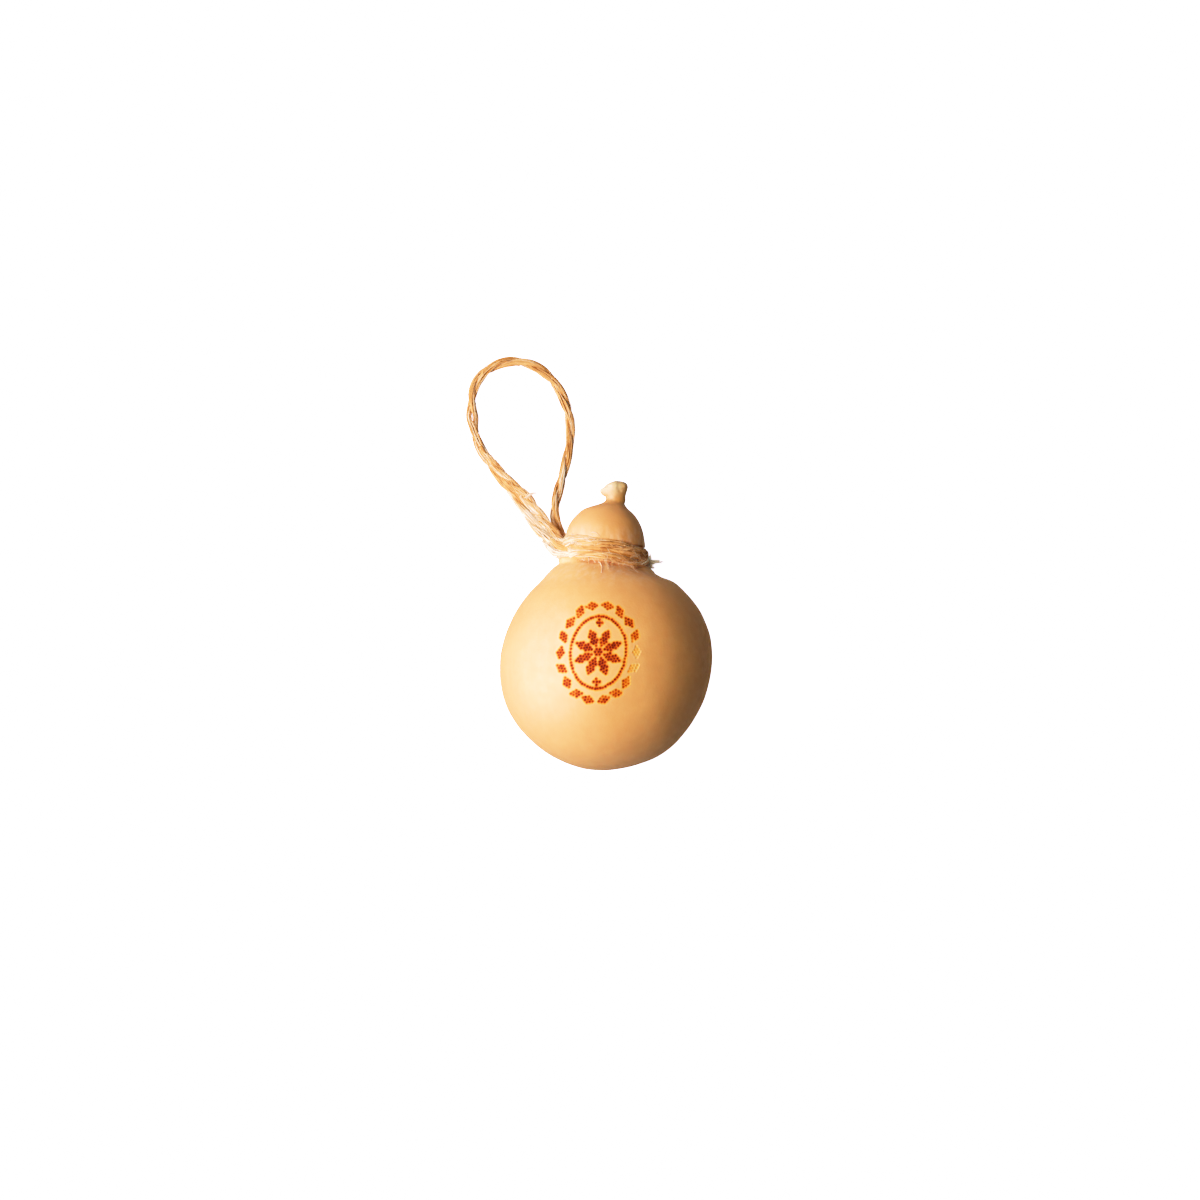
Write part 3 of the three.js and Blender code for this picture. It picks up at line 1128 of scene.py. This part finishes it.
# The torn curls as they lie seen from above, in tenths of a millimetre.
curl_routes = [
    [(0, 648), (6, 629), (-2, 599), (15, 570)],
    [(-29, 648), (-3, 637), (6, 626)],
    [(-38, 599), (-25, 570), (-28, 535)],
    [(-7, 599), (2, 582), (11, 559)],
    [(-106, 629), (-101, 605), (-103, 576)],
    [(29, 699), (50, 719), (71, 712)],
    [(78, 719), (90, 701), (89, 681)],
    [(217, 676), (199, 641), (209, 613)],
    [(128, 654), (184, 633), (221, 604), (211, 582), (177, 582)],
    [(-85, 775), (-58, 771), (-35, 748)],
    [(157, 664), (198, 634), (216, 599)],
    [(140, 626), (181, 629), (227, 614)],
    [(-58, 699), (0, 707), (35, 687)],
    [(93, 652), (134, 672), (163, 675)],
    [(29, 629), (44, 605), (35, 576)],
    [(-82, 617), (-67, 594), (-72, 564)],
    [(-210, 722), (-189, 751), (-198, 780)],
]
curl_lifts = (0.0004, 0.0014)
curl_scatter = 0.0004
curl_spacing = 0.0008
curl_radii = (0.00010, 0.00017)
curl_tints = (0.65, 0.92)
curling = random.Random(17)
for route in curl_routes:
    for twin in range(2):
        lift = curling.uniform(*curl_lifts)
        aside = curling.gauss(0, curl_scatter)
        places = [Vector((x + aside, y + aside, top_at(x, y) + lift)) for x, y in from_tenths(*route)]
        points = run_through(places, curl_spacing)
        radius = curling.uniform(*curl_radii)
        radii = [radius * (1 - 0.5 * step / len(points)) for step in range(len(points))]
        neck_hairs.append((points, radii, curling.uniform(*curl_tints)))
fuzz_fibres = 38
fuzz_turns = (35, 158)
fuzz_heights = (0.0585, 0.0605)
fuzz_reaches = (0.0010, 0.0050)
fuzz_lean = 0.9
fuzz_gap = 0.0001
fuzz_arch = 0.0004
fuzz_steps = 5
fuzz_radii = (0.00005, 0.00010)
fuzz_tints = (0.60, 0.95)
for number in range(fuzz_fibres):
    turn = math.radians(curling.uniform(*fuzz_turns))
    start = on_tie(turn, tie_radius, curling.uniform(*fuzz_heights))
    reach = curling.uniform(*fuzz_reaches)
    lean = curling.gauss(0, fuzz_lean)
    points = []
    for step in range(fuzz_steps + 1):
        share = step / fuzz_steps
        x = start.x + reach * lean * share**1.5
        y = start.y - reach * share
        points.append(Vector((x, y, top_at(x, y) + fuzz_gap + fuzz_arch * share * (1 - share))))
    radii = tapered(curling.uniform(*fuzz_radii), 0.5, fuzz_steps)
    neck_hairs.append((points, radii, curling.uniform(*fuzz_tints)))
twine_piece("neck_fibres", neck_hairs)


def lying_free(middle, shift):
    return shift


loop_hairs = trail_fibres(
    loop_line, count=220, seed=32, reach=0.018, lift=0.0007, thick=0.00012, pressed=lying_free
)
loop_hairs += trail_fibres(
    tail_line, count=90, seed=33, reach=0.020, lift=0.0010, thick=0.00012, pressed=lying_free
)
tuft_root = Vector((-0.0478, 0.0992, 0.0270))
tuft_tip = tuft_root + Vector((0.0082, 0.0018, 0.0010))
tuft_sag = Vector((0, 0.0018, 0.0008))
loop_hairs += lock_of_fibres(
    tuft_root, tuft_tip, tuft_sag, count=26, seed=35, width=0.0007, thick=0.00012, tint_range=(0.7, 1)
)
twine_piece("loop_fibres", loop_hairs)

# The floor, the lights and the camera
# A plain white table under a large soft light from the left, seen from straight above as in the photograph.
# A second panel at the left gives only the soft sheen on the rind.
floor_half_width = 3
floor_grey = 0.55
floor_seen_glow = 2.4
floor_glow = 0.10
floor_shape = bmesh.new()
bmesh.ops.create_grid(floor_shape, x_segments=1, y_segments=1, size=floor_half_width)
floor_mesh = bpy.data.meshes.new("floor")
floor_shape.to_mesh(floor_mesh)
floor_shape.free()
floor = add_object("floor", floor_mesh)
floor.visible_glossy = False
white, tree, surface = new_material("white_table")
surface.inputs["Base Color"].default_value = (floor_grey, floor_grey, floor_grey, 1)
surface.inputs["Roughness"].default_value = 0.9
path_kind = tree.nodes.new("ShaderNodeLightPath")
surface.inputs["Emission Color"].default_value = (1, 1, 1, 1)
glow = arithmetic(tree, "MULTIPLY", path_kind.outputs["Is Camera Ray"], floor_seen_glow)
glow = arithmetic(tree, "ADD", glow, floor_glow)
tree.links.new(glow, surface.inputs["Emission Strength"])
floor_mesh.materials.append(white)
lights_aim = (0, 0.02, 0.06)


def soft_light(name, place, width, height, power):
    lamp = bpy.data.lights.new(name, "AREA")
    lamp.shape = "RECTANGLE"
    lamp.size = width
    lamp.size_y = height
    lamp.energy = power
    lamp_object = add_object(name, lamp)
    lamp_object.location = place
    lamp_object.rotation_euler = (Vector(lights_aim) - Vector(place)).to_track_quat("-Z", "Y").to_euler()
    return lamp_object


window = soft_light("window", (-0.76, 0.05, 1.04), width=0.8, height=0.95, power=34)
window.visible_glossy = False
sheen_panel = soft_light("sheen_panel", (-0.64, 0, 0.38), width=1.2, height=0.7, power=60)
sheen_panel.visible_diffuse = False

world = bpy.data.worlds.new("studio")
world.use_nodes = True
world.node_tree.nodes["Background"].inputs["Color"].default_value = (1, 1, 1, 1)
world.node_tree.nodes["Background"].inputs["Strength"].default_value = 0.02
bpy.context.scene.world = world

# The photograph's bright tones are pressed together and a little pinker, so the tone curves do the same.
brightest_light = 3
bright_tones = ((0.25, 0.25), (0.5, 0.5), (0.75, 0.70), (1, 0.84), (1.4, 0.95), (2, 1))
green_kept = ((0.25, 0.25), (0.5, 0.49), (0.61, 0.585), (0.775, 0.71), (1.13, 0.95), (2, 1.95))
tones = bpy.context.scene.view_settings
tones.view_transform = "Standard"
tones.use_curve_mapping = True
tones.curve_mapping.extend = "HORIZONTAL"
tones.curve_mapping.white_level = (brightest_light, brightest_light, brightest_light)
all_curve = tones.curve_mapping.curves[3]
for light, shown in bright_tones:
    all_curve.points.new(light / brightest_light, shown)
green_curve = tones.curve_mapping.curves[1]
for light, kept in green_kept:
    green_curve.points.new(light / brightest_light, kept / brightest_light)
tones.curve_mapping.update()

sensor_width = 36
camera_distance = 1.970
view_width = 0.708
view_middle = Vector((-0.0035, 0.0378, 0.06124))
camera_data = bpy.data.cameras.new("camera")
camera_data.sensor_width = sensor_width
camera_data.lens = sensor_width * camera_distance / view_width
camera_data.clip_end = 20
camera = add_object("camera", camera_data)
camera.location = view_middle + Vector((0, 0, camera_distance))
bpy.context.scene.camera = camera
